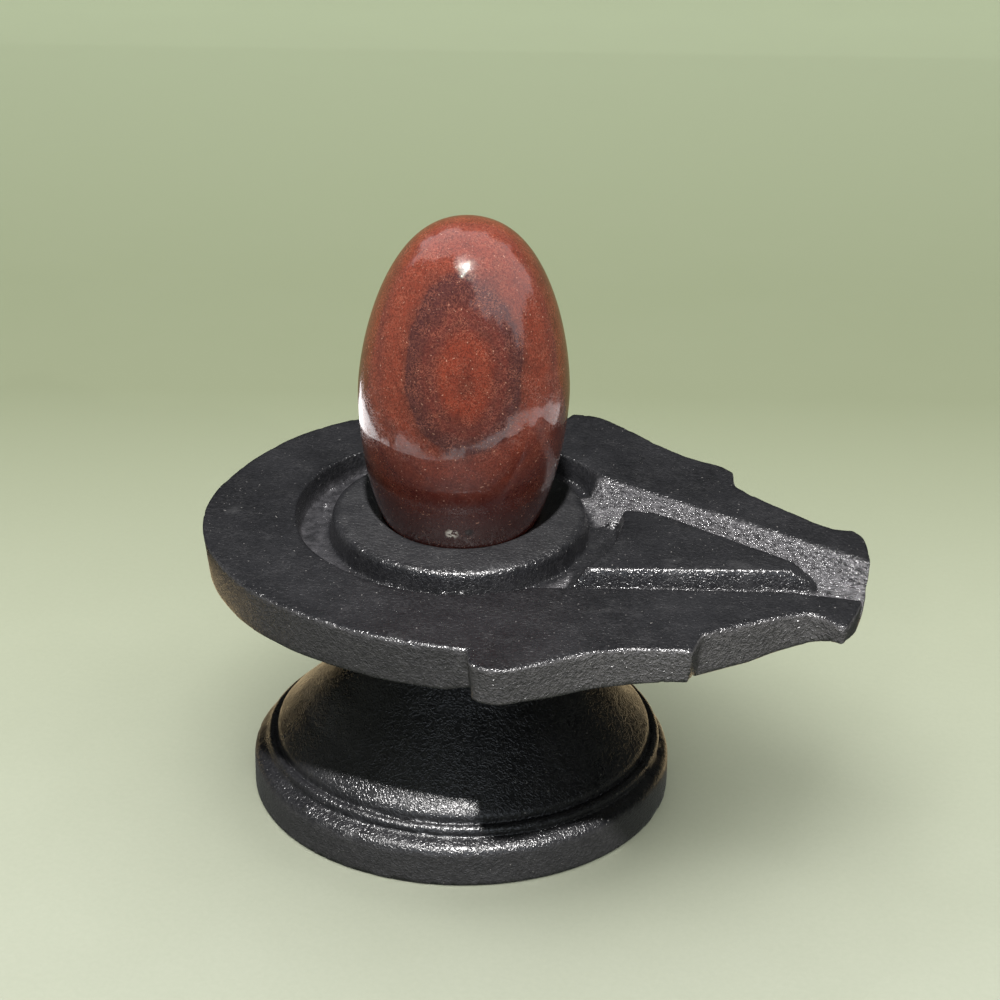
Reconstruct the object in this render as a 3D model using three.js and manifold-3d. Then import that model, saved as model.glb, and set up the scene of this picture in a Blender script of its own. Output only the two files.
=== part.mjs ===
// Shiva lingam stone: a polished egg-shaped stone standing upright in its
// carved black stone base, a round dish with a water spout (a yoni) on a bell-shaped
// foot.
//
// Millimetres, +Z up. The origin is under the middle of the dish, on the surface that
// the base stands on, and +X points along the spout.

import * as THREE from 'three';
import { mergeVertices } from 'three/addons/utils/BufferGeometryUtils.js';
import Module from 'manifold-3d';

const wasm = await Module();
wasm.setup();

// ---- Driving dimensions -----------------------------------------------------

const ROUND_SEGMENTS = 64; // facets round a turned form
const CLEARANCE = 0.3; // air between the stone and its socket

// The stone: an egg, widest a little below its middle, ground flat underneath.
const stone = {
  centre: [-1.0, -0.3],
  radius: 23.6,
  widestZ: 99.7,
  topZ: 139.5,
  flatZ: 58.0,
  reachBelow: 45.1, // from the widest level down to where the full egg would end
  lean: 0.028, // radians, towards the spout, about the level of the collar's top
  topPower: [1.65, 2.45],
  bottomPower: [1.86, 2.46],
  rings: 22,
};

// The foot and the pedestal are a little oval, with their short way turned from the
// Y axis, and neither is centred under the dish.
const oval = { share: 0.903, turn: 0.32 };

// The foot: a heavy ring with a rounded, sloping shoulder.
const foot = {
  centre: [1.5, -5.0],
  radius: 49.5,
  chamfer: 0.4,
  shoulder: [[49.3, 8.0], [48.9, 8.9], [48.0, 9.6], [46.0, 10.3]],
};

// The pedestal: a small roll at its foot, a straight-sided bell, a waist and a flare
// under the dish. The curve lists radius and z from the bell's lip upwards.
const pedestal = {
  centre: [1.3, -3.1],
  roll: [[46.6, 11.6], [46.2, 12.4], [45.5, 12.8], [44.6, 12.5]],
  lip: [44.4, 13.8],
  curve: [[44.2, 14.5], [34.2, 24.0], [24.7, 33.0], [17.8, 40.5], [15.8, 45.5],
    [18.5, 51.0], [36.0, 57.6]],
};

// The dish: its rim is a hand-carved round, with a stepped shoulder on each side of
// the spout and a small flare at the spout's end.
const dish = { topZ: 69, bottomZ: 57.6, arris: 0.7 };
const tip = { x: 94.0, bottomZ: 61.0, taperFromX: 70 };

// The water runs round the collar and out on both sides of a three-cornered island.
const channel = { floorZ: 63.5, centre: [-1.0, -0.3] };
const ring = { innerRadius: 29, outerRadius: 37.7 };
const walls = {
  farCorner: 0.82, // angles on the ring, in radians
  nearCorner: -0.83,
  farEnd: [97, 6.9],
  nearBend: [76.2, -11.2],
  nearEnd: [97, -8.6],
};
const island = {
  farCorner: 0.39, // angles on the ring, in radians
  nearCorner: -0.45,
  point: [[77.6, -1.6], [78.6, 0.0], [77.2, 1.8]],
  shoulder: [40.4, 14.5],
};
const socketMargin = 1.2; // how far the socket's cutter stands above the collar
const PEDESTAL_STEPS = 18; // along the pedestal's curve

// ---- Helpers ----------------------------------------------------------------

// A closed solid from a three.js geometry: shared corners are joined and the
// zero-area triangles at the poles of a lathe are dropped.
function toSolid(geometry) {
  const plain = geometry.clone();
  plain.deleteAttribute('normal');
  plain.deleteAttribute('uv');
  const merged = mergeVertices(plain, 1e-4);
  const index = merged.index.array;
  const kept = [];
  for (let i = 0; i < index.length; i += 3) {
    const [a, b, c] = [index[i], index[i + 1], index[i + 2]];
    if (a !== b && b !== c && c !== a) {
      kept.push(a, b, c);
    }
  }
  return new wasm.Manifold(new wasm.Mesh({
    numProp: 3,
    vertProperties: new Float32Array(merged.attributes.position.array),
    triVerts: new Uint32Array(kept),
  }));
}

function toGeometry(solid) {
  const mesh = solid.getMesh();
  const geometry = new THREE.BufferGeometry();
  geometry.setAttribute('position', new THREE.BufferAttribute(mesh.vertProperties, 3));
  geometry.setIndex(new THREE.BufferAttribute(mesh.triVerts, 1));
  geometry.computeVertexNormals();
  return geometry;
}

// Turns a profile of [radius, z] pairs, listed upwards, about the Z axis.
function turned(profile, segments = ROUND_SEGMENTS) {
  const points = profile.map(([radius, z]) => new THREE.Vector2(radius, z));
  return new THREE.LatheGeometry(points, segments).rotateX(Math.PI / 2);
}

// Raises a flat outline from one level to another.
function raised(shape, fromZ, toZ, options = {}) {
  const settings = { depth: toZ - fromZ, bevelEnabled: false, curveSegments: 6, ...options };
  return new THREE.ExtrudeGeometry(shape, settings).translate(0, 0, fromZ);
}

const vectors = (pairs) => pairs.map(([x, y]) => new THREE.Vector2(x, y));

// ---- The stone --------------------------------------------------------------

// Tips an egg that stands on the Z axis over by its lean, and moves it to its place.
function leaning(geometry) {
  geometry.translate(0, 0, -dish.topZ).rotateY(stone.lean);
  return geometry.translate(...stone.centre, dish.topZ);
}

// Radius of the egg at a level; `grow` makes the same form a little larger all round.
function eggRadius(z, grow = 0) {
  const above = z > stone.widestZ;
  const reach = above ? stone.topZ - stone.widestZ : stone.reachBelow;
  const [outer, inner] = above ? stone.topPower : stone.bottomPower;
  const share = Math.min(Math.abs(z - stone.widestZ) / (reach + grow), 1);
  return (stone.radius + grow) * Math.pow(1 - Math.pow(share, outer), 1 / inner);
}

// Levels from one height to another, closest together towards the upper end.
function levels(fromZ, toZ, count) {
  return Array.from({ length: count + 1 }, (_, i) => {
    return fromZ + (toZ - fromZ) * Math.sin((i / count) * (Math.PI / 2));
  });
}

function makeStone() {
  const profile = [[0, stone.flatZ]];
  for (const z of levels(stone.flatZ, stone.topZ, stone.rings)) {
    profile.push([z === stone.topZ ? 0 : eggRadius(z), z]);
  }
  return leaning(turned(profile, 48));
}

// The socket is the egg's own form, larger by the clearance and open upwards.
function socketSolid() {
  const profile = [[0, stone.flatZ - CLEARANCE]];
  for (const z of levels(stone.flatZ - CLEARANCE, dish.topZ + socketMargin, 6)) {
    profile.push([eggRadius(z, CLEARANCE), z]);
  }
  profile.push([0, dish.topZ + socketMargin]);
  return toSolid(leaning(turned(profile)));
}

// ---- The foot and the pedestal ----------------------------------------------

// Makes a turned form oval, and moves it to its place.
function ovalled(geometry, centre) {
  geometry.scale(1, oval.share, 1).rotateZ(oval.turn);
  return geometry.translate(...centre, 0);
}

function footSolid() {
  const top = foot.shoulder.at(-1)[1];
  const profile = [
    [0, 0],
    [foot.radius - foot.chamfer, 0],
    [foot.radius, foot.chamfer],
    ...foot.shoulder,
    [0, top],
  ];
  return toSolid(ovalled(turned(profile), foot.centre));
}

function pedestalSolid() {
  const insideFoot = 1;
  const insideDish = dish.bottomZ + 4;
  const curve = new THREE.SplineCurve(vectors(pedestal.curve)).getPoints(PEDESTAL_STEPS);
  const [rollRadius] = pedestal.roll[0];
  const profile = [
    [0, insideFoot],
    [rollRadius, insideFoot],
    ...pedestal.roll,
    pedestal.lip,
    ...curve.map(({ x, y }) => [x, y]),
    [pedestal.curve.at(-1)[0], insideDish],
    [0, insideDish],
  ];
  return toSolid(ovalled(turned(profile), pedestal.centre));
}

// ---- The dish ---------------------------------------------------------------

// The rim seen from above, anticlockwise from the step of the near shoulder.
function rimOutline() {
  const shape = new THREE.Shape();
  shape.moveTo(20.5, -56.9);
  shape.lineTo(22.4, -61.4);
  shape.splineThru(vectors([[25.2, -62.6], [30.5, -61.8], [36.5, -57.0], [43.0, -50.8],
    [50.3, -46.2], [58.0, -43.4], [64.6, -41.6]]));
  shape.lineTo(64.8, -34.4);
  shape.splineThru(vectors([[73.2, -26.8], [80.4, -20.8], [85.2, -18.6], [91.2, -21.6]]));
  shape.splineThru(vectors([[93.0, -19.8], [tip.x, -8], [93.6, 1.5], [91.8, 10.8],
    [88.8, 18.8], [86.0, 21.2]]));
  shape.splineThru(vectors([[80.4, 21.0], [68.5, 26.2], [58.3, 32.0], [55.4, 35.2]]));
  shape.lineTo(53.9, 40.4);
  shape.splineThru(vectors([[49.8, 42.8], [43.0, 44.2], [33.7, 48.2], [23.6, 54.2],
    [15.2, 58.2], [8.4, 57.8]]));
  shape.lineTo(6.4, 52.4);
  shape.splineThru(vectors([[-10, 51.4], [-27.2, 45.8], [-42.6, 35.0], [-53.5, 16.5],
    [-57.8, -7.4], [-52.2, -28.9], [-37.8, -45.4], [-19.7, -54.6], [2.2, -58.4],
    [20.5, -56.9]]));
  return shape;
}

// Under the spout the dish thins towards the tip: this wedge is cut away there.
function spoutTaper() {
  const shape = new THREE.Shape(vectors([
    [tip.taperFromX, dish.bottomZ - 2],
    [tip.x + 2, dish.bottomZ - 2],
    [tip.x + 2, tip.bottomZ],
    [tip.taperFromX, dish.bottomZ],
  ]));
  const halfWidth = 40;
  const wedge = new THREE.ExtrudeGeometry(shape, { depth: 2 * halfWidth, bevelEnabled: false });
  return toSolid(wedge.rotateX(Math.PI / 2).translate(0, halfWidth, 0));
}

function dishSolid() {
  const plate = raised(rimOutline(), dish.bottomZ + dish.arris, dish.topZ - dish.arris, {
    curveSegments: 2,
    bevelEnabled: true,
    bevelThickness: dish.arris,
    bevelSize: dish.arris,
    bevelOffset: -dish.arris,
    bevelSegments: 1,
  });
  return toSolid(plate).subtract(spoutTaper());
}

// ---- The water channels -----------------------------------------------------

// Outer edge of the sunk water course: three quarters of the ring, then the two
// walls that close in towards the tip and run out through it.
function waterOutline() {
  const { farCorner, nearCorner, farEnd, nearBend, nearEnd } = walls;
  const shape = new THREE.Shape();
  shape.moveTo(...nearEnd);
  shape.lineTo(...farEnd);
  shape.absarc(...channel.centre, ring.outerRadius, farCorner, nearCorner, false);
  shape.lineTo(...nearBend);
  shape.closePath();
  return shape;
}

// The collar that the stone stands in.
function collarSolid(fromZ, toZ) {
  const height = toZ - fromZ;
  const { innerRadius } = ring;
  const cylinder = new THREE.CylinderGeometry(innerRadius, innerRadius, height, ROUND_SEGMENTS);
  cylinder.rotateX(Math.PI / 2).translate(...channel.centre, (fromZ + toZ) / 2);
  return toSolid(cylinder);
}

// The island between the two channels: its blunt side follows the ring, and its
// small cut-off point faces the spout's end.
function islandOutline() {
  const { farCorner, nearCorner, point } = island;
  const shape = new THREE.Shape();
  shape.absarc(...channel.centre, ring.outerRadius, farCorner, nearCorner, true);
  for (const [x, y] of point) {
    shape.lineTo(x, y);
  }
  shape.lineTo(...island.shoulder);
  return shape;
}

// What is cut out of the dish for the water: the sunk course less what stands in it.
function waterCourse() {
  const below = channel.floorZ - 1;
  const above = dish.topZ + 2;
  const fine = { curveSegments: ROUND_SEGMENTS };
  const coarse = { curveSegments: 10 };
  const course = toSolid(raised(waterOutline(), channel.floorZ, above, fine));
  const wedge = toSolid(raised(islandOutline(), below, above + 1, coarse));
  return course.subtract(collarSolid(below, above + 1)).subtract(wedge);
}

// ---- The part ---------------------------------------------------------------

function makeBase() {
  const body = footSolid().add(pedestalSolid()).add(dishSolid());
  return toGeometry(body.subtract(waterCourse()).subtract(socketSolid()));
}

const polishedJasper = new THREE.MeshStandardMaterial({
  color: 0x7a3a2c,
  roughness: 0.12,
  metalness: 0,
});
const blackStone = new THREE.MeshStandardMaterial({
  color: 0x1c1c1f,
  roughness: 0.42,
  metalness: 0,
});

const lingamStone = new THREE.Mesh(makeStone(), polishedJasper);
lingamStone.name = 'lingam_stone';

const yoniBase = new THREE.Mesh(makeBase(), blackStone);
yoniBase.name = 'yoni_base';

const part = new THREE.Group();
part.add(yoniBase, lingamStone);

export default part;
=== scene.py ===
"""A shiva lingam stone in its carved black stone base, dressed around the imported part.

The base is one carved block. It is described as a signed distance (negative inside,
in millimetres), and its surface is meshed from that, so that every arris is rounded
and every face is a little uneven, as in hand-carved stone. The stone is a finely
turned egg. Lengths are in millimetres until a mesh is made, and then in metres.
"""

import math

import bpy
import numpy as np
from mathutils import Matrix, Vector


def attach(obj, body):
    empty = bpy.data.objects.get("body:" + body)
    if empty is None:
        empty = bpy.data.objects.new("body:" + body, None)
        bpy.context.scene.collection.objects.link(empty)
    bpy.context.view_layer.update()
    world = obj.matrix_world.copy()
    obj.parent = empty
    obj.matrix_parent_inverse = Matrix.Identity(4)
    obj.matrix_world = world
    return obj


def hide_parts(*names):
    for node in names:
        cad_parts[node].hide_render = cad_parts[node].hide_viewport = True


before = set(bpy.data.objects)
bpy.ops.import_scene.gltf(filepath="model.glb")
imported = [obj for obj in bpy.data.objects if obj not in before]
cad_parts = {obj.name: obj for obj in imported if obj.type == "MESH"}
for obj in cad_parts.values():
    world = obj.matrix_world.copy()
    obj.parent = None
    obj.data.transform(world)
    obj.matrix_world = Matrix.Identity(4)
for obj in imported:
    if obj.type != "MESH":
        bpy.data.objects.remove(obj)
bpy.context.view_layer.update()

MM = 0.001

# ---- Driving dimensions, in millimetres --------------------------------------

STONE_CENTRE = (-1.0, -0.3)
STONE_RADIUS = 23.6
STONE_WIDEST_Z = 99.7
STONE_TOP_Z = 139.5
STONE_FLAT_Z = 58.0
STONE_REACH_BELOW = 45.1  # from the widest level to where the full egg would end
STONE_TOP_POWER = (1.65, 2.45)
STONE_BOTTOM_POWER = (1.86, 2.46)
STONE_LEAN = 0.028  # radians, towards the spout, about the level of the collar's top
SOCKET_GAP = 0.1

# The foot and the pedestal are a little oval, their short way turned from the Y axis.
OVAL_SHARE = 0.903
OVAL_TURN = 0.32

FOOT_CENTRE = (1.5, -5.0)
FOOT_RADIUS = 49.5
FOOT_SHOULDER = [(49.4, 8.2), (49.2, 8.9), (48.7, 9.5), (47.8, 10.0), (46.4, 10.35),
                 (45.0, 10.4)]  # radius and z, from the wall inwards

PEDESTAL_CENTRE = (1.3, -3.1)
ROLL_RADIUS = 45.6
ROLL_Z = 11.4
ROLL_THICKNESS = 1.3
LIP = [(44.5, 12.4), (44.4, 14.0)]  # radius and z of the step that it makes
PEDESTAL_CURVE = [(44.2, 14.5), (34.2, 24.0), (24.7, 33.0), (17.8, 40.5), (15.8, 45.5),
                  (18.5, 51.0), (36.0, 57.6)]  # radius and z, from the lip upwards

DISH_TOP_Z = 69.0
DISH_BOTTOM_Z = 57.6
DISH_ARRIS = 0.65
RIM_DRAFT = 0.10
UNDERSIDE = [(16, 57.6), (24, 59.6), (33, 59.5), (40, 58.7), (50, 59.0), (60, 60.3),
             (63.2, 60.4), (64.4, 57.9), (73, 58.2), (78, 59.3), (84, 60.6), (89, 61.0),
             (94, 61.0)]  # x and z of the dish's underside along the spout

RING_CENTRE = (-1.0, -0.3)
COLLAR_RADIUS = 29.0
RING_RADIUS = 37.7
CHANNEL_FLOOR_Z = 63.5

# Outlines in plan, anticlockwise. Each run is a smooth curve through its points, and
# the runs meet in corners.
RIM_RUNS = [
    [(20.5, -56.9), (22.4, -61.4)],
    [(22.4, -61.4), (25.2, -62.6), (30.5, -61.8), (36.5, -57.0), (43.0, -50.8),
     (50.3, -46.2), (58.0, -43.4), (64.6, -41.6)],
    [(64.6, -41.6), (64.8, -34.4)],
    [(64.8, -34.4), (73.2, -26.8), (80.4, -20.8), (85.2, -18.6), (91.2, -21.6)],
    [(91.2, -21.6), (93.0, -19.8), (94.0, -8.0), (93.6, 1.5), (91.8, 10.8),
     (88.8, 18.8), (86.0, 21.2)],
    [(86.0, 21.2), (80.4, 21.0), (68.5, 26.2), (58.3, 32.0), (55.4, 35.2)],
    [(55.4, 35.2), (53.9, 40.4)],
    [(53.9, 40.4), (49.8, 42.8), (43.0, 44.2), (33.7, 48.2), (23.6, 54.2),
     (15.2, 58.2), (8.4, 57.8)],
    [(8.4, 57.8), (6.4, 52.4)],
    [(6.4, 52.4), (-10.0, 51.4), (-27.2, 45.8), (-42.6, 35.0), (-53.5, 16.5),
     (-57.8, -7.4), (-52.2, -28.9), (-37.8, -45.4), (-19.7, -54.6), (2.2, -58.4),
     (20.5, -56.9)],
]
COURSE_CORNERS = [(24.7, 27.2), (0.0, 10.0), (0.0, -10.0), (24.5, -28.2),
                  (76.2, -11.2), (99.0, -8.4), (99.0, 6.3)]
ISLAND_CORNERS = [(30.0, 12.0), (31.0, -17.4), (80.2, -0.7), (81.2, 0.1),
                  (80.2, 0.8), (40.4, 14.5)]
ISLAND_TIP = (76.2, 0.70)  # where its top ends, and how steeply it falls from there

# How far a wall leans outwards for each millimetre of height.
COURSE_LEAN = 0.22
FAR_WALL_LEAN = 0.62
COLLAR_LEAN = 0.16
ISLAND_LEAN = 0.30

# Small lumps under the black finish: x, y, z of the centre, and the radius.
LUMPS = [
    (-34.7, 0.8, 63.6, 1.0),
    (26.8, 22.1, 64.2, 1.25),
    (28.1, 40.7, 68.9, 0.75),
    (31.7, 14.6, 62.9, 2.1),
    (-22.0, -43.9, 10.2, 0.9),
]

GRID_STEP = 1.12  # of the coarse mesh
GRID_LOW, GRID_HIGH = (-60.2, -64.9, -1.6), (97.0, 60.0, 71.5)
SETTLE_STEP = 0.4  # the furthest that a point moves in one round
REFINE_BENDS = (0.012, 0.03)  # how sharp a bend is halved, first round and second

PLAN_LOW, PLAN_HIGH = (-62.0, -67.0), (99.0, 62.0)
PLAN_STEP = 0.4
PROFILE_STEP = 0.3

# How wide the carver's inner corners and arrises are rounded.
RING_TO_SPOUT_BLEND = 1.0
COLLAR_FOOT_BLEND = 0.6
ISLAND_END_BLEND = 1.6
ISLAND_FOOT_BLEND = 1.0
CHANNEL_FLOOR_BLEND = 0.45
DISH_NECK_BLEND = 2.0
SOCKET_BLEND = 0.3
LUMP_BLEND = 0.5
COURSE_ARRIS = 0.55
COLLAR_ARRIS_MORE = 0.75  # what the collar's arris is rounder by, within the radius below
COLLAR_ARRIS_REACH = 33.0


# ---- Signed distances ----------------------------------------------------------

def smooth_max(a, b, blend):
    """The larger of two distances, with the corner between them rounded."""
    share = np.maximum(blend - np.abs(a - b), 0.0) / blend
    return np.maximum(a, b) + share * share * blend * 0.25


def smooth_min(a, b, blend):
    return -smooth_max(-a, -b, blend)


def catmull_rom(points, steps=8):
    """Points along a smooth curve through the given ones."""
    p = np.array([points[0], *points, points[-1]], float)
    t = np.linspace(0, 1, steps, endpoint=False)[:, None]
    spans = []
    for a, b, c, d in zip(p, p[1:], p[2:], p[3:]):
        tangent_b, tangent_c = (c - a) / 2, (d - b) / 2
        spans.append(
            (2 * t**3 - 3 * t**2 + 1) * b + (t**3 - 2 * t**2 + t) * tangent_b
            + (-2 * t**3 + 3 * t**2) * c + (t**3 - t**2) * tangent_c
        )
    return np.vstack(spans)


def polygon_distance(x, y, corners):
    """Signed distance from points in the plane to a closed polygon."""
    corners = np.asarray(corners, float)
    nearest = np.full(x.shape, 1e9)
    inside = np.zeros(x.shape, bool)
    for (ax, ay), (bx, by) in zip(corners, np.roll(corners, -1, axis=0)):
        ex, ey = bx - ax, by - ay
        along = np.clip(((x - ax) * ex + (y - ay) * ey) / (ex * ex + ey * ey), 0, 1)
        gap = (x - ax - along * ex) ** 2 + (y - ay - along * ey) ** 2
        nearest = np.minimum(nearest, gap)
        crosses = (ay > y) != (by > y)
        if ey:
            inside ^= crosses & (x < ax + (y - ay) * ex / ey)
    return np.sqrt(nearest) * np.where(inside, -1.0, 1.0)


class Table:
    """A function of two coordinates, kept on a grid and read back smoothly."""

    def __init__(self, function, low, high, step):
        self.low, self.step = np.array(low, float), step
        counts = np.ceil((np.array(high) - self.low) / step).astype(int) + 1
        axes = [lo + step * np.arange(n) for lo, n in zip(self.low, counts)]
        self.values = function(*np.meshgrid(*axes, indexing="ij"))

    def __call__(self, a, b):
        u = (a - self.low[0]) / self.step
        v = (b - self.low[1]) / self.step
        rows, columns = self.values.shape
        i = np.clip(np.floor(u).astype(int), 0, rows - 2)
        j = np.clip(np.floor(v).astype(int), 0, columns - 2)
        u, v = np.clip(u - i, 0, 1), np.clip(v - j, 0, 1)
        t = self.values
        return (
            (t[i, j] * (1 - u) + t[i + 1, j] * u) * (1 - v)
            + (t[i, j + 1] * (1 - u) + t[i + 1, j + 1] * u) * v
        )


class Noise:
    """Smooth noise from -1 to 1 in space, the same on every run."""

    def __init__(self, size, seed, cells=48):
        self.size, self.cells = size, cells
        self.lattice = np.random.default_rng(seed).uniform(-1, 1, (cells,) * 3)

    def __call__(self, p):
        q = p / self.size
        low = np.floor(q).astype(int)
        f = q - low
        f = f * f * (3 - 2 * f)
        total = np.zeros(len(p))
        for corner in np.ndindex(2, 2, 2):
            weight = np.prod(np.where(corner, f, 1 - f), axis=1)
            total += weight * self.lattice[tuple(((low + corner) % self.cells).T)]
        return total


rim_points = np.vstack([
    catmull_rom(run) if len(run) > 2 else np.array(run[:1], float) for run in RIM_RUNS
])
rim_table = Table(
    lambda x, y: polygon_distance(x, y, rim_points), PLAN_LOW, PLAN_HIGH, PLAN_STEP)
spout_table = Table(
    lambda x, y: polygon_distance(x, y, COURSE_CORNERS), PLAN_LOW, PLAN_HIGH, PLAN_STEP)
island_table = Table(
    lambda x, y: polygon_distance(x, y, ISLAND_CORNERS), PLAN_LOW, PLAN_HIGH, PLAN_STEP)


def pedestal_corners():
    inside_dish = DISH_BOTTOM_Z + 4
    curve = catmull_rom(PEDESTAL_CURVE)
    outer = PEDESTAL_CURVE[-1][0]
    return np.vstack([
        [(-5, 2), (LIP[0][0], 2)], LIP, curve,
        [PEDESTAL_CURVE[-1], (outer, inside_dish), (-5, inside_dish)],
    ])


def foot_corners():
    chamfer = 0.4
    return [(-5, 0), (FOOT_RADIUS - chamfer, 0), (FOOT_RADIUS, chamfer), *FOOT_SHOULDER,
            (-5, FOOT_SHOULDER[-1][1])]


pedestal_table = Table(
    lambda r, z: polygon_distance(r, z, pedestal_corners()), (0, -4), (70, 74),
    PROFILE_STEP)
foot_table = Table(
    lambda r, z: polygon_distance(r, z, foot_corners()), (0, -4), (90, 74),
    PROFILE_STEP)


def oval_radius(x, y, centre):
    """Distance from the axis of an oval form, measured along its long way."""
    dx, dy = x - centre[0], y - centre[1]
    c, s = math.cos(OVAL_TURN), math.sin(OVAL_TURN)
    return np.hypot(dx * c + dy * s, (dy * c - dx * s) / OVAL_SHARE)


def lean_over(x, z, angle):
    """Turns points about the level of the collar's top, on the stone's axis."""
    dx, dz = x - STONE_CENTRE[0], z - DISH_TOP_Z
    c, s = math.cos(angle), math.sin(angle)
    return STONE_CENTRE[0] + dx * c + dz * s, DISH_TOP_Z - dx * s + dz * c


def egg_radius(z, grow=0.0):
    """Radius of the stone at a level, or of the same form a little larger."""
    above = z > STONE_WIDEST_Z
    reach = np.where(above, STONE_TOP_Z - STONE_WIDEST_Z, STONE_REACH_BELOW) + grow
    outer = np.where(above, STONE_TOP_POWER[0], STONE_BOTTOM_POWER[0])
    inner = np.where(above, STONE_TOP_POWER[1], STONE_BOTTOM_POWER[1])
    share = np.clip(np.abs(z - STONE_WIDEST_Z) / reach, 0, 1)
    return (STONE_RADIUS + grow) * (1 - share**outer) ** (1 / inner)


def dish_underside(x, y):
    """Level of the dish's underside, which the carver left uneven along the spout, and
    which rises at the near corner of its end."""
    step = np.clip((x - 55.0) / 5.0, 0, 1) * np.clip((70.0 - x) / 4.0, 0, 1)
    level = np.interp(x + 0.25 * (y + 38.0) * step, *np.transpose(UNDERSIDE))
    corner = np.clip((-y - 10.0) / 9.0, 0, 1) * np.clip((x - 83.0) / 8.0, 0, 1)
    return level + 3.0 * corner


def water_course(x, y, z):
    """What is cut away for the water: the ring, the channels and the mouth."""
    ring = np.hypot(x - RING_CENTRE[0], y - RING_CENTRE[1])
    below = DISH_TOP_Z - z
    far_side = np.clip((y - 2.0) / 8.0, 0, 1) * np.clip((x - 18.0) / 8.0, 0, 1)
    lean = COURSE_LEAN + (FAR_WALL_LEAN - COURSE_LEAN) * far_side
    course = smooth_min(ring - RING_RADIUS, spout_table(x, y), RING_TO_SPOUT_BLEND)
    course = course + lean * below
    collar = COLLAR_RADIUS - ring + COLLAR_LEAN * below
    island = smooth_max(island_table(x, y), RING_RADIUS - ring, ISLAND_END_BLEND)
    island = np.maximum(island, x - ISLAND_TIP[0] - below / ISLAND_TIP[1])
    wall = smooth_max(course, collar, COLLAR_FOOT_BLEND)
    wall = smooth_max(wall, ISLAND_LEAN * below - island, ISLAND_FOOT_BLEND)
    return smooth_max(wall, CHANNEL_FLOOR_Z - z, CHANNEL_FLOOR_BLEND)


unevenness = [(Noise(17.0, 11), 0.16), (Noise(6.5, 12), 0.09), (Noise(2.6, 13), 0.045)]
pebbles = Noise(2.1, 14)
chips = Noise(2.4, 15)


def channel_share(p):
    """1 on the rough far wall and floor of the spout, 0 on the smooth faces."""
    x, y, z = p.T
    inside = np.clip(0.6 - spout_table(x, y), 0, 1)
    inside *= np.clip((DISH_TOP_Z - 0.25 - z) / 0.4, 0, 1) * np.clip(z - 62.0, 0, 1)
    inside *= np.clip((island_table(x, y) - 1.2) / 0.8, 0, 1)
    inside *= np.clip((np.hypot(x - RING_CENTRE[0], y - RING_CENTRE[1]) - 31.0) / 2.0, 0, 1)
    return inside * np.clip((x - 19.0) / 3.0, 0, 1)


def base_distance(p):
    """Signed distance to the carved base."""
    x, y, z = p.T
    plate = rim_table(x, y) + RIM_DRAFT * (DISH_TOP_Z - z)
    under = dish_underside(x, y)
    middle, half = (DISH_TOP_Z + under) / 2, (DISH_TOP_Z - under) / 2
    flat = np.abs(z - middle) - half
    qx, qz = plate + DISH_ARRIS, flat + DISH_ARRIS
    dish = (np.minimum(np.maximum(qx, qz), 0)
            + np.hypot(np.maximum(qx, 0), np.maximum(qz, 0)) - DISH_ARRIS)
    near_arris = np.clip(1.3 - np.hypot(plate, z - DISH_TOP_Z), 0, 1)
    dish = dish + 0.35 * near_arris * np.clip(chips(p) - 0.05, 0, 1)

    radius = oval_radius(x, y, PEDESTAL_CENTRE)
    pedestal = pedestal_table(radius, z)
    foot = foot_table(oval_radius(x, y, FOOT_CENTRE), z)
    roll = np.hypot(radius - ROLL_RADIUS, z - ROLL_Z) - ROLL_THICKNESS
    # The roll is distinct towards the near right and fades into a slope at the left.
    distinct = np.clip(0.5 + (0.8 * x - 0.6 * y) / 60.0, 0, 1)
    body = smooth_min(foot, roll, 0.6 + 1.4 * (1 - distinct))
    body = smooth_min(body, pedestal, 0.2 + 0.5 * (1 - distinct))
    body = smooth_min(body, dish, DISH_NECK_BLEND)
    from_ring = np.hypot(x - RING_CENTRE[0], y - RING_CENTRE[1])
    by_collar = np.clip(COLLAR_ARRIS_REACH - from_ring, 0, 1)
    arris = COURSE_ARRIS + COLLAR_ARRIS_MORE * by_collar
    body = smooth_max(body, -water_course(x, y, z), arris)

    along, up = lean_over(x, z, -STONE_LEAN)
    from_stone = np.hypot(along - STONE_CENTRE[0], y - STONE_CENTRE[1])
    socket = smooth_max(from_stone - egg_radius(up, SOCKET_GAP),
                        STONE_FLAT_Z - SOCKET_GAP - up, SOCKET_BLEND)
    body = smooth_max(body, -socket, SOCKET_BLEND)
    for lx, ly, lz, size in LUMPS:
        lump = np.sqrt((x - lx) ** 2 + (y - ly) ** 2 + (z - lz) ** 2) - size
        body = smooth_min(body, lump, LUMP_BLEND)

    carved = sum(height * noise(p) for noise, height in unevenness)
    carved = carved + 0.06 * pebbles(p) * channel_share(p)
    off_floor = np.clip(z / 2.0, 0, 1)
    off_socket = np.clip((from_stone - 26.0) / 2.0, 0, 1)
    return body + (0.05 + carved) * off_floor * off_socket


# ---- Meshing a signed distance --------------------------------------------------

def gradient(function, p, step=0.05):
    out = np.empty_like(p)
    for axis in range(3):
        shift = np.zeros(3)
        shift[axis] = step
        out[:, axis] = (function(p + shift) - function(p - shift)) / (2 * step)
    return out


def sample_grid(function, low, high, step):
    counts = np.ceil((np.array(high) - low) / step).astype(int) + 1
    axes = [lo + step * np.arange(n) for lo, n in zip(low, counts)]
    values = np.empty(counts)
    for i, x in enumerate(axes[0]):
        y, z = np.meshgrid(axes[1], axes[2], indexing="ij")
        points = np.c_[np.full(y.size, x), y.ravel(), z.ravel()]
        values[i] = function(points).reshape(y.shape)
    return values


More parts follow.
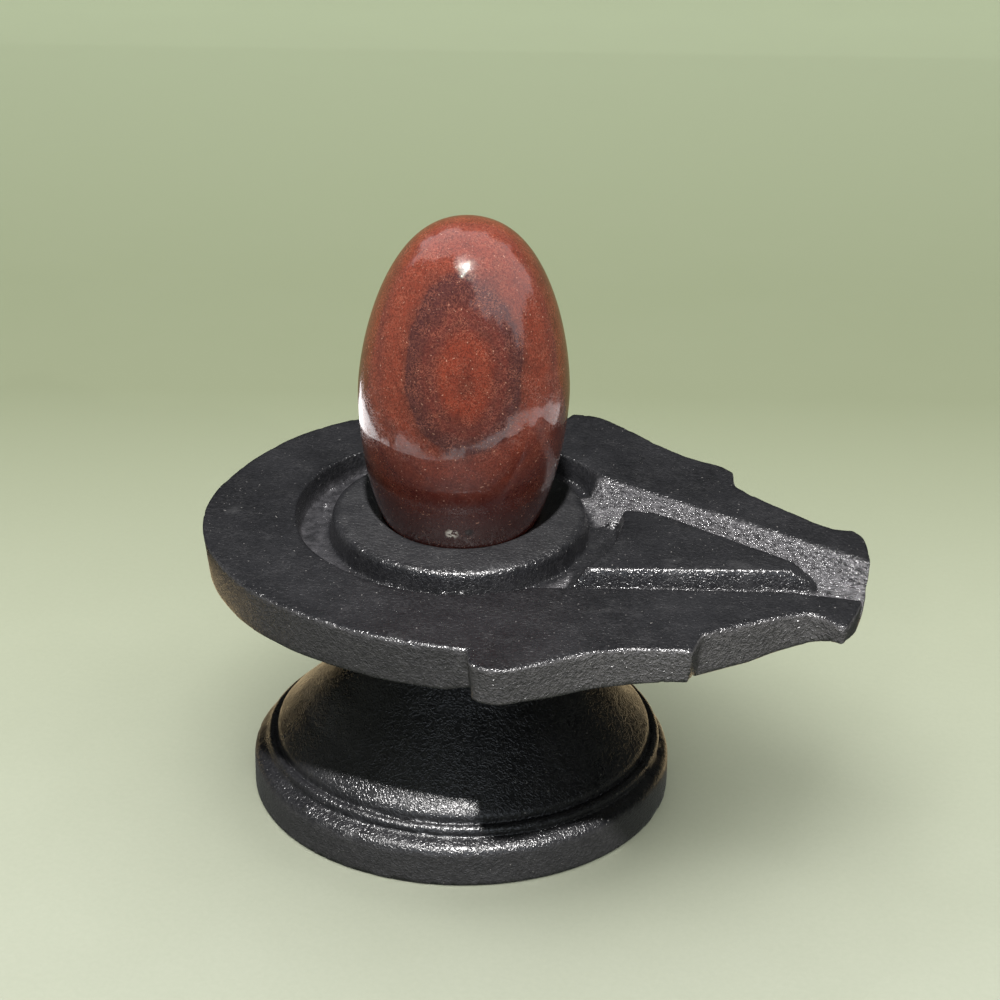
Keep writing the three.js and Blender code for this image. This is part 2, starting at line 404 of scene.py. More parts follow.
def surface_net(function, low, high, step):
    """A closed quad mesh of the zero level of a signed distance."""
    low = np.array(low, float)
    values = sample_grid(function, low, high, step)
    inside = values < 0
    cells = tuple(n - 1 for n in values.shape)
    total, hits = np.zeros((*cells, 3)), np.zeros(cells)
    for axis in range(3):
        others = [a for a in range(3) if a != axis]
        for shift in np.ndindex(2, 2):
            start = [0, 0, 0]
            start[others[0]], start[others[1]] = shift
            a = tuple(slice(s, s + n) for s, n in zip(start, cells))
            start[axis] += 1
            b = tuple(slice(s, s + n) for s, n in zip(start, cells))
            crossed = inside[a] != inside[b]
            span = np.where(crossed, values[a] - values[b], 1.0)
            place = np.zeros((*cells, 3))
            place[..., others[0]], place[..., others[1]] = shift
            place[..., axis] = np.where(crossed, values[a] / span, 0)
            total += place * crossed[..., None]
            hits += crossed
    used = hits > 0
    index = np.full(cells, -1)
    index[used] = np.arange(used.sum())
    corners = np.argwhere(used)
    points = low + step * (corners + total[used] / hits[used][:, None])

    quads = []
    for axis in range(3):
        u, v = (axis + 1) % 3, (axis + 2) % 3
        a = [slice(1, -1)] * 3
        b = [slice(1, -1)] * 3
        a[axis], b[axis] = slice(0, -1), slice(1, None)
        first, second = inside[tuple(a)], inside[tuple(b)]
        at = np.argwhere(first != second)
        outwards = first[tuple(at.T)]
        at[:, u] += 1
        at[:, v] += 1
        ring = []
        for du, dv in ((-1, -1), (0, -1), (0, 0), (-1, 0)):
            cell = at.copy()
            cell[:, u] += du
            cell[:, v] += dv
            ring.append(index[tuple(cell.T)])
        quad = np.stack(ring, axis=1)
        quads.append(np.where(outwards[:, None], quad, quad[:, ::-1]))
    return points, np.vstack(quads)


def largest_part(points, faces):
    """The biggest connected part of a mesh, without stray bubbles."""
    label = np.arange(len(points))
    while True:
        lowest = np.repeat(label[faces].min(axis=1), faces.shape[1])
        spread = label.copy()
        np.minimum.at(spread, faces.ravel(), lowest)
        if (spread == label).all():
            break
        label = spread
    kept = label == np.bincount(label).argmax()
    renumbered = np.cumsum(kept) - 1
    return points[kept], renumbered[faces[kept[faces[:, 0]]]]


def triangulated(quads):
    return np.vstack([quads[:, [0, 1, 2]], quads[:, [0, 2, 3]]])


def bend(points, triangles):
    """How sharply the surface turns at each point: 0 where it is flat."""
    a, b, c = (points[triangles[:, i]] for i in range(3))
    normal = np.cross(b - a, c - a)
    normal /= np.maximum(np.linalg.norm(normal, axis=1, keepdims=True), 1e-12)
    corners, count = triangles.ravel(), np.bincount(triangles.ravel(), minlength=len(points))
    total = np.stack([np.bincount(corners, np.repeat(normal[:, i], 3), len(points))
                      for i in range(3)], axis=1)
    return 1 - np.linalg.norm(total, axis=1) / count


def halve(points, triangles, marked):
    """Halves every edge between two marked points; the mesh stays closed."""
    sides = np.sort(triangles[:, [[0, 1], [1, 2], [2, 0]]].reshape(-1, 2), axis=1)
    ends, where = np.unique(sides, axis=0, return_inverse=True)
    cut = marked[ends].all(axis=1)
    middle = np.full(len(ends), -1)
    middle[cut] = len(points) + np.arange(cut.sum())
    points = np.vstack([points, points[ends[cut]].mean(axis=1)])
    middle = middle[where.ravel()].reshape(-1, 3)
    hits = (middle >= 0).sum(axis=1)
    (a, b, c), (d, e, f) = triangles[hits == 3].T, middle[hits == 3].T
    four = [np.stack(t, axis=1) for t in ((a, d, f), (d, b, e), (f, e, c), (d, e, f))]
    one, side = triangles[hits == 1], middle[hits == 1].argmax(axis=1)
    rows = np.arange(len(one))
    a, b, c = (one[rows, (side + k) % 3] for k in range(3))
    d = middle[hits == 1][rows, side]
    two = [np.stack(t, axis=1) for t in ((a, d, c), (d, b, c))]
    return points, np.vstack([triangles[hits == 0], *four, *two])


def settle(function, points, rounds=3):
    """Moves points onto the surface, in short steps."""
    for _ in range(rounds):
        slope = gradient(function, points)
        length = np.maximum((slope**2).sum(1), 0.05)
        move = slope * (function(points) / length)[:, None]
        reach = np.linalg.norm(move, axis=1, keepdims=True)
        points = points - move * np.minimum(1, SETTLE_STEP / np.maximum(reach, 1e-9))
    return points


def make_object(name, points, faces):
    mesh = bpy.data.meshes.new(name)
    mesh.from_pydata((np.asarray(points) * MM).tolist(), [], np.asarray(faces).tolist())
    mesh.update()
    mesh.shade_smooth()
    piece = bpy.data.objects.new(name, mesh)
    bpy.context.scene.collection.objects.link(piece)
    return piece


def add_mask(piece, name, values):
    mask = piece.data.attributes.new(name, "FLOAT", "POINT")
    mask.data.foreach_set("value", np.clip(values, 0, 1).astype(np.float32))


# ---- Node helpers ----------------------------------------------------------------

class Nodes:
    """Short calls for building one material's node tree."""

    def __init__(self, name):
        self.material = bpy.data.materials.new(name)
        self.material.use_nodes = True
        self.tree = self.material.node_tree
        self.shader = self.tree.nodes["Principled BSDF"]

    def put(self, socket, value):
        if isinstance(value, bpy.types.NodeSocket):
            self.tree.links.new(value, socket)
        elif value is not None:
            socket.default_value = value

    def node(self, kind, inputs=(), **settings):
        made = self.tree.nodes.new("ShaderNode" + kind)
        for key, value in settings.items():
            setattr(made, key, value)
        for key, value in dict(inputs).items():
            self.put(made.inputs[key], value)
        return made

    def place(self):
        return self.node("TexCoord").outputs["Object"]

    def mask(self, name):
        return self.node("Attribute", attribute_name=name).outputs["Fac"]

    def math(self, operation, a, b=None):
        made = self.node("Math", {0: a}, operation=operation)
        self.put(made.inputs[1], b)
        return made.outputs[0]

    def noise(self, vector, scale, detail=3.0, roughness=0.55):
        inputs = {"Vector": vector, "Scale": scale, "Detail": detail,
                  "Roughness": roughness}
        return self.node("TexNoise", inputs).outputs["Fac"]

    def curls(self, vector, scale, width, detail=2.0):
        """Fine curling lines: 1 along the middle of each, 0 between them."""
        value = self.noise(vector, scale, detail, 0.6)
        off = self.math("ABSOLUTE", self.math("SUBTRACT", value, 0.5))
        return self.ramp(off, width, 0.0)

    def spot(self, place, centre, inner, outer):
        """1 within one distance of a place given in millimetres, 0 beyond another."""
        away = self.node("VectorMath", {0: place, 1: [c * MM for c in centre]},
                         operation="DISTANCE").outputs["Value"]
        return self.ramp(away, outer * MM, inner * MM)

    def stretch(self, vector, location=(0, 0, 0), rotation=(0, 0, 0), scale=(1, 1, 1)):
        inputs = {"Vector": vector, "Location": location, "Rotation": rotation,
                  "Scale": scale}
        return self.node("Mapping", inputs).outputs[0]

    def ramp(self, value, low, high, to_low=0.0, to_high=1.0):
        inputs = {"Value": value, "From Min": low, "From Max": high,
                  "To Min": to_low, "To Max": to_high}
        return self.node("MapRange", inputs, clamp=True).outputs[0]

    def mix(self, factor, a, b):
        made = self.node("Mix", data_type="RGBA")
        for socket, value in zip((made.inputs[0], made.inputs[6], made.inputs[7]),
                                 (factor, a, b)):
            self.put(socket, value)
        return made.outputs[2]

    def bump(self, height, distance, strength=1.0, normal=None):
        inputs = {"Height": height, "Distance": distance, "Strength": strength}
        if normal is not None:
            inputs["Normal"] = normal
        return self.node("Bump", inputs).outputs[0]


# ---- Materials ---------------------------------------------------------------------

def black_stone():
    """Near-black stone: satin faces with a fine curling grain and pale specks, worn
    glinting arrises, tooled sides and a rough glinting channel. The channel is painted darker
    in the hollows of its hammering, as painted shade, and the left of the ring groove's floor
    is painted lighter, as a painted sheen."""
    n = Nodes("black_stone")
    place = n.place()
    rough, side, worn = n.mask("channel"), n.mask("side"), n.mask("arris")

    cloud = n.noise(place, 55, 4)
    colour = n.mix(n.ramp(cloud, 0.35, 0.7), (0.0024, 0.0025, 0.0029, 1),
                   (0.0054, 0.0055, 0.0062, 1))
    fine = n.ramp(n.noise(place, 1000, 3, 0.7), 0.36, 0.64)
    colour = n.mix(n.math("MULTIPLY", fine, 0.3), colour, (0.0112, 0.0112, 0.0128, 1))
    granular = n.ramp(n.noise(place, 1000, 3, 0.7), 0.36, 0.66)
    side_colour = n.mix(granular, (0.031, 0.0302, 0.0312, 1), (0.057, 0.0550, 0.0558, 1))
    colour = n.mix(n.math("MULTIPLY", side, 0.9), colour, side_colour)
    grain = n.curls(place, 780, 0.085)
    grain_share = n.math("MULTIPLY", grain, n.ramp(n.noise(place, 240, 3), 0.42, 0.66))
    colour = n.mix(n.math("MULTIPLY", grain_share, 0.10), colour, (0.056, 0.055, 0.057, 1))
    specks = n.ramp(n.noise(place, 1500, 1), 0.75, 0.80)
    colour = n.mix(n.math("MULTIPLY", specks, 0.34), colour, (0.24, 0.23, 0.22, 1))
    dust = n.ramp(n.noise(place, 85, 5, 0.68), 0.60, 0.74)
    colour = n.mix(n.math("MULTIPLY", dust, 0.15), colour, (0.056, 0.056, 0.057, 1))
    height = n.node("SeparateXYZ", {"Vector": place}).outputs[2]
    # The floor of the ring groove at the left is painted lighter, as a painted sheen.
    in_groove = n.math("MULTIPLY", n.ramp(height, 0.0660, 0.0645), n.mask("groove"))
    groove_sheen = n.ramp(n.noise(place, 420, 4, 0.7), 0.38, 0.66, 0.12, 0.85)
    colour = n.mix(n.math("MULTIPLY", in_groove, groove_sheen), colour, (0.024, 0.0235, 0.0255, 1))
    # The rough channel is painted a lighter grey, its own tone, lighter still on the raised
    # streaks of its hammering and darker in the hollows between them, as painted shade.
    streaks = n.noise(n.stretch(place, rotation=(0, 0, 0.26), scale=(0.34, 1, 1)), 1700, 3, 0.7)
    hammer_tone_and_shade = n.math("MULTIPLY", rough, n.ramp(streaks, 0.38, 0.60, 0.15, 0.85))
    colour = n.mix(hammer_tone_and_shade, colour, (0.076, 0.0745, 0.078, 1))
    n.put(n.shader.inputs["Base Color"], colour)

    scratch = n.stretch(place, rotation=(0, 0, 0.35), scale=(60, 900, 900))
    scratches = n.noise(scratch, 1.0, 3)
    satin = n.ramp(n.noise(place, 140, 4), 0.3, 0.7, 0.23, 0.34)
    gloss = n.math("SUBTRACT", satin, n.math("MULTIPLY", worn, 0.07))
    gloss = n.math("SUBTRACT", gloss, n.math("MULTIPLY", rough, 0.12))
    gloss = n.math("ADD", gloss, n.math("MULTIPLY", scratches, 0.06))
    dull_collar = n.spot(place, (*RING_CENTRE, DISH_TOP_Z), COLLAR_RADIUS - 2, COLLAR_RADIUS)
    gloss = n.math("ADD", gloss, n.math("MULTIPLY", dull_collar, 0.17))
    n.put(n.shader.inputs["Roughness"], gloss)
    n.shader.inputs["Specular IOR Level"].default_value = 0.5

    pitted = n.math("ADD", n.math("MULTIPLY", grain, 0.8), n.noise(place, 1250, 3, 0.7))
    skin = n.bump(pitted, 0.00015, 0.60)
    tooled = n.noise(n.stretch(place, rotation=(0.5, 0.9, 0.3), scale=(2.2, 1, 1)), 620, 3)
    tooled = n.math("ADD", tooled, n.math("MULTIPLY", n.curls(place, 640, 0.08), 0.5))
    tool_marks = n.bump(n.math("MULTIPLY", tooled, side), 0.00028, 0.8, skin)
    scratched = n.bump(scratches, 0.00006, 0.6, tool_marks)
    hammered = n.math("ADD", streaks, n.math("MULTIPLY", n.curls(place, 620, 0.10), 0.35))
    glints = n.bump(n.math("MULTIPLY", hammered, rough), 0.00065, 1.0, scratched)
    n.put(n.shader.inputs["Normal"], glints)
    return n.material


def jasper():
    """Red-brown jasper with a concentric eye, a fine curling grain in light and dark, a
    dark foot and a high polish."""
    n = Nodes("jasper")
    place = n.place()
    eye = n.stretch(place, location=(-0.0073, 0.0209, -0.1109))
    wobble = n.noise(place, 75, 4)
    bend = n.ramp(n.noise(place, 90, 4, 0.6), 0.25, 0.75, -0.0011, 0.0011)
    x, y, z = (n.node("SeparateXYZ", {"Vector": eye}).outputs[i] for i in range(3))
    across = n.math("ADD", n.math("MULTIPLY", x, 0.95), n.math("MULTIPLY", y, 0.313))
    tall = n.math("MAXIMUM", n.math("MULTIPLY", z, 0.58), n.math("MULTIPLY", z, -0.78))
    distance = n.math("SQRT", n.math("ADD", n.math("MULTIPLY", across, across),
                                     n.math("MULTIPLY", tall, tall)))
    distance = n.math("ADD", distance, bend)

    bands = n.node("ValToRGB", {"Fac": n.ramp(distance, 0.0, 0.030)}).color_ramp
    banded = n.tree.nodes[-1].outputs["Color"]
    stops = [
        (0.00, (0.095, 0.020, 0.014)), (0.05, (0.119, 0.023, 0.015)),
        (0.10, (0.190, 0.033, 0.019)), (0.16, (0.199, 0.035, 0.019)),
        (0.20, (0.142, 0.028, 0.019)), (0.24, (0.103, 0.026, 0.022)),
        (0.28, (0.119, 0.027, 0.022)), (0.32, (0.084, 0.024, 0.022)),
        (0.37, (0.067, 0.022, 0.022)), (0.412, (0.063, 0.021, 0.022)),
        (0.432, (0.133, 0.032, 0.022)), (0.48, (0.185, 0.037, 0.022)),
        (0.58, (0.209, 0.041, 0.024)), (0.64, (0.152, 0.034, 0.024)),
        (0.68, (0.204, 0.043, 0.025)), (0.80, (0.119, 0.033, 0.027)),
        (0.90, (0.195, 0.048, 0.025)), (1.00, (0.109, 0.044, 0.021)),
    ]
    for i, (position, colour) in enumerate(stops):
        stop = bands.elements[i] if i < 2 else bands.elements.new(position)
        stop.position, stop.color = position, (*colour, 1)

    mottle = n.ramp(n.noise(place, 330, 5, 0.7), 0.38, 0.66)
    colour = n.mix(n.math("MULTIPLY", mottle, 0.35), banded, (0.060, 0.020, 0.016, 1))
    dark = n.curls(n.stretch(place, location=(0.3, 0.1, 0.2)), 1250, 0.065)
    colour = n.mix(n.math("MULTIPLY", dark, 0.60), colour, (0.030, 0.009, 0.008, 1))
    light = n.curls(place, 1400, 0.055)
    light = n.math("MULTIPLY", light, n.ramp(n.noise(place, 300, 3), 0.28, 0.66))
    colour = n.mix(n.math("MULTIPLY", light, 0.44), colour, (0.44, 0.150, 0.095, 1))
    height = n.node("SeparateXYZ", {"Vector": place}).outputs[2]
    low = n.math("ADD", height, n.ramp(wobble, 0.0, 1.0, -0.006, 0.006))
    colour = n.mix(n.ramp(low, 0.101, 0.078, 0.0, 0.90), colour, (0.034, 0.0046, 0.0046, 1))
    pale = n.ramp(n.noise(place, 1900, 1), 0.70, 0.76)
    colour = n.mix(n.math("MULTIPLY", pale, 0.6), colour, (0.55, 0.30, 0.22, 1))
    # A chip in the polish, painted pale as a painted glint, and a small dark spot beside it.
    chip_glint = n.math("MULTIPLY", n.spot(place, (3.9, -19.3, 73.4), 0.9, 1.7),
                  n.ramp(n.noise(place, 1300, 2), 0.46, 0.54))
    colour = n.mix(chip_glint, colour, (0.62, 0.58, 0.55, 1))
    dark_spot = n.spot(place, (7.5, -18.1, 74.0), 0.7, 1.3)
    colour = n.mix(n.math("MULTIPLY", dark_spot, 0.85), colour, (0.010, 0.006, 0.006, 1))
    n.put(n.shader.inputs["Base Color"], colour)
    polish = n.ramp(n.noise(place, 90, 3), 0.3, 0.7, 0.05, 0.09)
    dull_foot = n.ramp(low, 0.090, 0.078, 0.0, 0.12)
    n.put(n.shader.inputs["Roughness"], n.math("ADD", polish, dull_foot))
    n.shader.inputs["Coat Weight"].default_value = 0.2
    n.shader.inputs["Coat Roughness"].default_value = 0.03
    wavy = n.bump(n.noise(place, 170, 3, 0.5), 0.00016, 0.4)
    n.put(n.shader.inputs["Normal"], n.bump(light, 0.00003, 0.4, wavy))
    return n.material


# ---- Pieces --------------------------------------------------------------------------

def carved_base():
    """The base's mesh, with masks on its points that its material reads."""
    points, quads = largest_part(*surface_net(
        base_distance, GRID_LOW, GRID_HIGH, GRID_STEP))
    triangles = triangulated(quads)
    points = settle(base_distance, points)
    for sharpness in REFINE_BENDS:
        marked = bend(points, triangles) > sharpness
        points, triangles = halve(points, triangles, marked)
        points = settle(base_distance, points, 2)
    points[:, 2] = np.clip(points[:, 2], 0.0, DISH_TOP_Z)
    piece = make_object("carved_base", points, triangles)

    # A little inside an arris the slopes of its two faces cancel each other.
    x, y, z = points.T
    slope = gradient(base_distance, points, 0.3)
    slope /= np.maximum(np.linalg.norm(slope, axis=1, keepdims=True), 1e-9)
    ahead = gradient(base_distance, points - 0.9 * slope, 0.3)
    arris = 1 - np.linalg.norm(ahead, axis=1)
    add_mask(piece, "channel", channel_share(points))
    # Where the left of the ring groove's floor is painted lighter, as a painted sheen.
    from_ring = np.hypot(x - RING_CENTRE[0], y - RING_CENTRE[1])
    in_ring = np.clip(from_ring - COLLAR_RADIUS - 1.0, 0, 1)
    in_ring *= np.clip(RING_RADIUS - from_ring, 0, 1)
    add_mask(piece, "groove", in_ring * np.clip((-12.0 - x) / 12.0, 0, 1))
    is_rim = np.clip(z - 56.0, 0, 1) * np.clip(rim_table(x, y) + 2.0, 0, 1)
    is_wall = np.clip((0.6 - slope[:, 2]) / 0.5, 0, 1)
    is_foot = np.clip(11.0 - z, 0, 1)
    along_spout = 0.45 + 0.55 * np.clip((x - 15.0) / 30.0, 0, 1)
    add_mask(piece, "side", is_wall * np.maximum(is_rim * along_spout, 0.25 * is_foot))
    add_mask(piece, "arris", arris * 2.2)
    piece.data.materials.append(black_stone())
    return piece


def polished_stone(around=160, up=120):
    """The egg, turned finely."""
    angle = -np.pi / 2 + np.pi * np.linspace(0, 1, up + 1)[1:-1]
    reach = np.where(angle > 0, STONE_TOP_Z - STONE_WIDEST_Z, STONE_WIDEST_Z - STONE_FLAT_Z)
    level = STONE_WIDEST_Z + reach * np.sin(angle)
    turn = np.linspace(0, 2 * np.pi, around, endpoint=False)
    radius = egg_radius(level)[:, None]
    points = np.stack([STONE_CENTRE[0] + radius * np.cos(turn),
                       STONE_CENTRE[1] + radius * np.sin(turn),
                       np.repeat(level[:, None], around, axis=1)], axis=2).reshape(-1, 3)
    bottom, top = len(points), len(points) + 1
    points = np.vstack([points, [(*STONE_CENTRE, STONE_FLAT_Z), (*STONE_CENTRE, STONE_TOP_Z)]])
    points[:, 0], points[:, 2] = lean_over(points[:, 0], points[:, 2], STONE_LEAN)
    last = (len(level) - 1) * around
    i = np.arange(around)
    j = (i + 1) % around
    quads = np.vstack([np.stack([k + i, k + j, k + around + j, k + around + i], axis=1)
                       for k in range(0, last, around)])
    ends = np.vstack([np.stack([np.full(around, bottom), j, i], axis=1),
                      np.stack([np.full(around, top), last + i, last + j], axis=1)])
    piece = make_object("polished_stone", points, np.vstack([triangulated(quads), ends]))
    piece.data.materials.append(jasper())
    return piece


base = carved_base()
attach(base, "root")
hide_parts("yoni_base")

stone = polished_stone()
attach(stone, "root")
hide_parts("lingam_stone")


# ---- Camera ----------------------------------------------------------------------------

CAMERA_PLACE = (147.1, -419.9, 307.5)
CAMERA_TURN = math.radians(18.253)
CAMERA_ELEVATION = math.radians(27.924)
CAMERA_ROLL = math.radians(0.870)
CAMERA_LENS = 79.2  # on a 36 mm wide sensor

camera = bpy.data.objects.new("camera", bpy.data.cameras.new("camera"))
camera.data.sensor_width = 36.0
camera.data.lens = CAMERA_LENS
camera.matrix_world = (
    Matrix.Translation(Vector(CAMERA_PLACE) * MM)
    @ Matrix.Rotation(CAMERA_TURN, 4, "Z")
    @ Matrix.Rotation(math.pi / 2 - CAMERA_ELEVATION, 4, "X")
    @ Matrix.Rotation(CAMERA_ROLL, 4, "Z")
)
bpy.context.scene.collection.objects.link(camera)
bpy.context.scene.camera = camera


# ---- Floor and light -------------------------------------------------------------------

# The sweep: flat near the object, in millimetres, and then rising as a parabola.
FLOOR_REACH = 1400
FLOOR_FLAT_REACH = 700
FLOOR_RISE = 900
FLOOR_RUN = 40

# Albedo of the sweep at distances in metres behind the object: painted light and shade,
# lighter in front of the object, darkest 0.2 to 0.3 m behind it and a little lighter again
# further back.
FLOOR_PAINTED_SHADE = [
    (-0.08, (0.468, 0.489, 0.390)), (0.06, (0.412, 0.436, 0.322)),
    (0.21, (0.256, 0.282, 0.174)), (0.30, (0.255, 0.286, 0.174)),
    (0.66, (0.345, 0.392, 0.256)),
]


def pale_floor():
    """A pale sage sweep: flat under the object, rising gently far behind it, and painted
    darker behind the object as painted shade.
    """
    far = np.linspace(-FLOOR_REACH, FLOOR_REACH, FLOOR_RUN + 1)
    points, faces = [], []
    for x in far:
        for y in far:
            reach = max(math.hypot(x, y) - FLOOR_FLAT_REACH, 0)
            points.append((x, y, reach * reach / FLOOR_RISE))
    for i in range(FLOOR_RUN):
        for j in range(FLOOR_RUN):
            a = i * (FLOOR_RUN + 1) + j
            faces.append((a, a + FLOOR_RUN + 1, a + FLOOR_RUN + 2, a + 1))
    floor = make_object("floor", points, faces)
    n = Nodes("pale_floor")
    x, y, _ = (n.node("SeparateXYZ", {"Vector": n.place()}).outputs[i] for i in range(3))
    behind = n.math("ADD", n.math("MULTIPLY", x, -math.sin(CAMERA_TURN)),
                    n.math("MULTIPLY", y, math.cos(CAMERA_TURN)))
    first, last = FLOOR_PAINTED_SHADE[0][0], FLOOR_PAINTED_SHADE[-1][0]
    tones = n.node("ValToRGB", {"Fac": n.ramp(behind, first, last)}).color_ramp
    shaded_tone = n.tree.nodes[-1].outputs["Color"]
    for i, (place, tone) in enumerate(FLOOR_PAINTED_SHADE):
        share = (place - first) / (last - first)
        stop = tones.elements[i] if i < 2 else tones.elements.new(share)
        stop.position, stop.color = share, (*tone, 1)
    cloudy = n.ramp(n.noise(n.place(), 26, 4, 0.6), 0.3, 0.7, 0.0, 0.10)
    shaded_tone = n.mix(cloudy, shaded_tone, (0.30, 0.32, 0.22, 1))
    fibre = n.ramp(n.noise(n.place(), 700, 3, 0.7), 0.3, 0.7, 0.0, 0.10)
    n.put(n.shader.inputs["Base Color"], n.mix(fibre, shaded_tone, (0.26, 0.28, 0.20, 1)))
    n.shader.inputs["Roughness"].default_value = 0.9
    floor.data.materials.append(n.material)
    floor.visible_glossy = False
    return floor


LIGHT_AIM = (10.0, 0.0, 70.0)
KEY_PLACE = (284, 64, 1.1)  # azimuth, elevation and reach in metres
KEY_SIZE = (0.045, 0.045)
WHITE = (1.0, 1.0, 1.0)


def direction(azimuth, elevation):
    a, e = math.radians(azimuth), math.radians(elevation)
    return Vector((math.cos(a) * math.cos(e), math.sin(a) * math.cos(e), math.sin(e)))


def shine_only_on(lamp, lit):
    receivers = bpy.data.collections.new("lit_by_" + lamp.name)
    for thing in lit:
        receivers.objects.link(thing)
    lamp.light_linking.receiver_collection = receivers


def area_light(name, azimuth, elevation, reach, size, power, colour, lit):
    """A light aimed at the part, which shines on the pieces in lit only. Azimuth 0 is
    along +X, in degrees."""
    light = bpy.data.lights.new(name, "AREA")
    light.shape = "RECTANGLE"
    light.size, light.size_y = size
    light.energy = power
    light.color = colour
    lamp = bpy.data.objects.new(name, light)
    away = direction(azimuth, elevation)
    lamp.location = Vector(LIGHT_AIM) * MM + away * reach
    lamp.rotation_mode = "QUATERNION"
    lamp.rotation_quaternion = away.to_track_quat("Z", "Y")
    bpy.context.scene.collection.objects.link(lamp)
    shine_only_on(lamp, lit)
    return lamp


def reflected_panel(name, points, faces, glow, colour, strength, seen_in):
    """A glowing panel that shows only in the reflections of one piece."""
    panel = make_object(name, points, faces[(glow[faces] > 0).any(axis=1)])
    add_mask(panel, "glow", glow)
    n = Nodes(name)
    light = n.node("Emission", {"Color": (*colour, 1),
                                "Strength": n.math("MULTIPLY", n.mask("glow"), strength)})
    output = n.tree.nodes["Material Output"]
    n.tree.links.new(light.outputs[0], output.inputs["Surface"])
    panel.data.materials.append(n.material)
    panel.visible_camera = panel.visible_diffuse = panel.visible_shadow = False
    panel.visible_transmission = panel.visible_volume_scatter = False
    shine_only_on(panel, [seen_in])


# Outline of the broad soft light overhead, as azimuth and elevation from the stone.
SKY_EDGE = [(176, 22), (150, 24), (138, 37), (110, 48), (70, 48), (48, 31), (42, 14),
            (27, 7), (353, 5), (335, 13), (311, 23), (298, 32), (297, 53), (270, 54),
            (239, 68), (199, 50)]


SKY_RADIUS = 1100
SKY_CENTRE = (0, 0, 110)


def sky_panel(rings=90, around=300):
    """A dome patch over the stone, soft and uneven along its edge."""
    ring = np.repeat(np.linspace(0.0, 0.98, rings), around)
    turn = np.tile(np.linspace(0, 2 * np.pi, around, endpoint=False), rings)
    u, v = ring * np.cos(turn), ring * np.sin(turn)
    edge = [(math.cos(math.radians(a)) * (90 - e) / 90,
             math.sin(math.radians(a)) * (90 - e) / 90) for a, e in SKY_EDGE]
    place = np.c_[u, v, 0 * u]
    uneven = Noise(0.16, 21)(place) * 0.06 + Noise(0.045, 22)(place) * 0.035
    glow = 0.5 - (polygon_distance(u, v, edge) + uneven) / 0.035
    rise = np.pi / 2 * (1 - ring)
    points = SKY_CENTRE + SKY_RADIUS * np.c_[
        np.cos(rise) * np.cos(turn), np.cos(rise) * np.sin(turn), np.sin(rise)]
    corner = np.arange(rings * around).reshape(rings, around)
    beside = np.roll(corner, -1, axis=1)
    quads = np.stack([corner[:-1], beside[:-1], beside[1:], corner[1:]], axis=2)
    reflected_panel("sky_panel", points, quads.reshape(-1, 4), glow,
                    (0.97, 0.92, 0.96), 1.65, stone)


# Outlines of glowing sheets over the floor beside the dish, in millimetres: painted
# reflections of a bright floor, seen only in the stone.
NEAR_GLOW_OUTLINE = [(-150, -60), (-150, -138), (-110, -158), (-60, -160), (-10, -162), (34, -173),
              (83, -164), (136, -149), (180, -138), (236, -124), (290, -130), (334, -61),
              (314, 23), (289, 77), (240, 150), (200, 160), (137, 193), (125, 110),
              (130, 0), (90, -80), (0, -115), (-80, -95)]
LEFT_GLOW_OUTLINE = [(-205, 150), (-218, 93), (-202, 39), (-186, -13), (-164, -67), (-122, -62),
              (-122, 150)]

# A glowing brown sheet behind, seen only in the base: a painted reflection of a browner
# floor, which the bell's flanks catch at a glancing angle.
BACK_GLOW_OUTLINE = [(-118, -45), (-75, -12), (-60, 18), (60, 18), (80, 20), (85, 130), (-118, 150)]


FLOOR_PANEL_STEP = 4.0


def floor_panel(name, outline, strength, colour, seen_in):
    """A glowing sheet just over the floor, with a soft and uneven edge."""
    xs = np.arange(-270, 351, FLOOR_PANEL_STEP)
    ys = np.arange(-200, 221, FLOOR_PANEL_STEP)
    x, y = (a.ravel() for a in np.meshgrid(xs, ys, indexing="ij"))
    uneven = Noise(22.0, 31)(np.c_[x, y, 0 * x]) * 9 + Noise(8.0, 32)(np.c_[x, y, 0 * x]) * 4
    glow = 0.5 - (polygon_distance(x, y, outline) + uneven) / 5.0
    corner = np.arange(x.size).reshape(len(xs), len(ys))
    quads = np.stack([corner[:-1, :-1], corner[1:, :-1], corner[1:, 1:], corner[:-1, 1:]],
                     axis=2)
    points = np.c_[x, y, np.full(x.size, 1.0)]
    reflected_panel(name, points, quads.reshape(-1, 4), glow, colour, strength, seen_in)


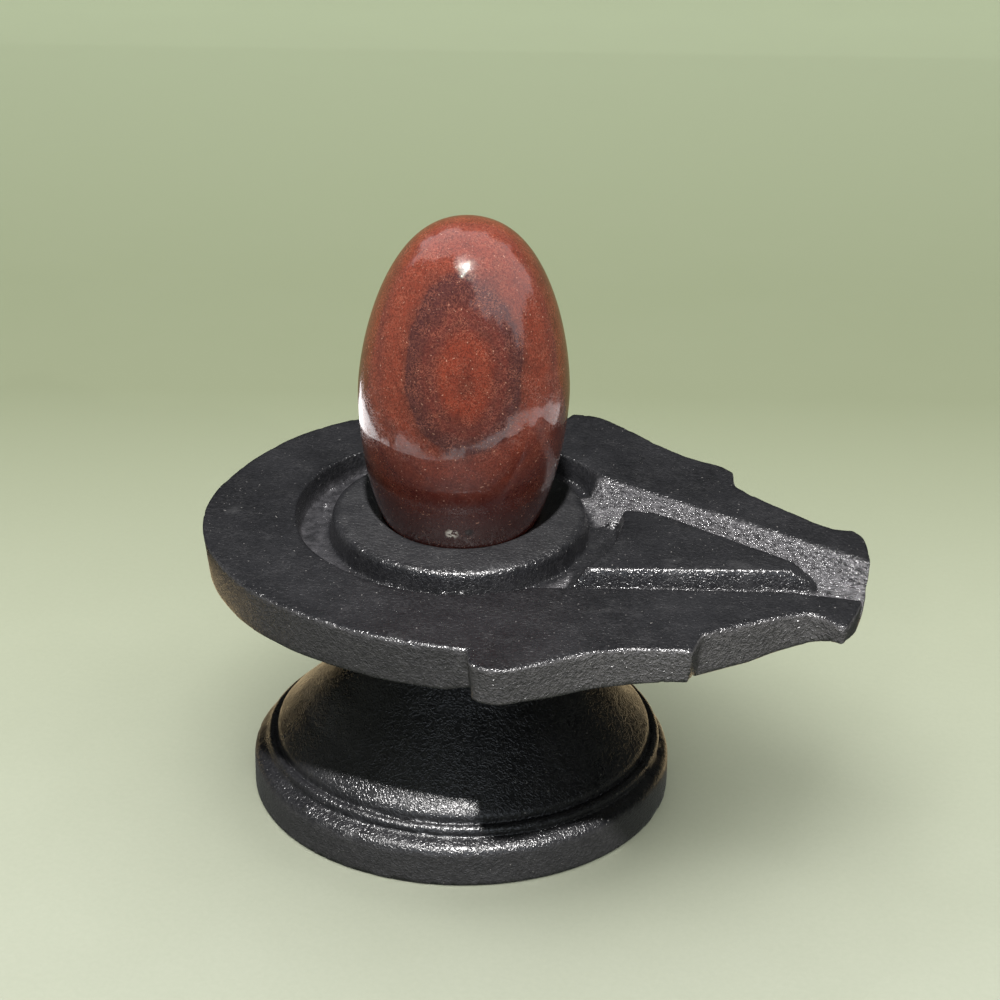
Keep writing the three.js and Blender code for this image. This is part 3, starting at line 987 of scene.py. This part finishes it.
def backdrop_reflection_glow():
    """A glowing panel behind, seen only in the stone: a painted reflection of what stands
    behind, as the stone's flanks catch it at a glancing angle.
    """
    across = np.array([math.cos(CAMERA_TURN), math.sin(CAMERA_TURN)]) * 900
    middle = np.array([-math.sin(CAMERA_TURN), math.cos(CAMERA_TURN)]) * 600
    points = np.array([(*(middle + side * across), z)
                       for side, z in ((-1, -250), (1, -250), (1, 420), (-1, 420))])
    reflected_panel("backdrop_reflection_glow", points, np.array([[0, 1, 2, 3]]), np.ones(4),
                    (1.0, 0.90, 0.45), 0.22, stone)


floor = pale_floor()
area_light("key", *KEY_PLACE, KEY_SIZE, 13, (1.0, 0.97, 0.94), [stone])
area_light("base_key", *KEY_PLACE, KEY_SIZE, 62, (1.0, 0.98, 0.965), [base])
top_soft = area_light("top_soft", 190, 66, 1.2, (0.9, 0.9), 13, WHITE, [base, stone])
top_soft.visible_glossy = False
area_light("front_soft", 286, 14, 1.0, (1.1, 0.5), 2.9, (0.80, 0.88, 1.0), [base])
right_soft = area_light("right_soft", 338, 36, 1.0, (0.75, 0.6), 3.2, (1.0, 0.985, 0.975),
                        [base, stone])
right_soft.visible_glossy = False
area_light("floor_soft", 262, 74, 1.3, (0.8, 0.8), 9.0, WHITE, [floor])
sky_panel()
backdrop_reflection_glow()
floor_panel("near_reflected_glow", NEAR_GLOW_OUTLINE, 2.0, (1.0, 0.93, 0.93), stone)
floor_panel("left_reflected_glow", LEFT_GLOW_OUTLINE, 3.4, (1.0, 0.97, 0.97), stone)
floor_panel("back_reflected_glow", BACK_GLOW_OUTLINE, 1.4, (1.0, 0.77, 0.44), base)

dome = bpy.data.lights.new("floor_dome", "SUN")
dome.angle = math.radians(170)
dome.energy = 3.65
floor_dome = bpy.data.objects.new("floor_dome", dome)
bpy.context.scene.collection.objects.link(floor_dome)
shine_only_on(floor_dome, [floor])

world = bpy.data.worlds.new("studio")
world.use_nodes = True
surroundings = world.node_tree.nodes["Background"]
surroundings.inputs["Color"].default_value = (0.62, 0.66, 0.58, 1)
surroundings.inputs["Strength"].default_value = 0.25
bpy.context.scene.world = world
bpy.context.scene.view_settings.view_transform = "Standard"
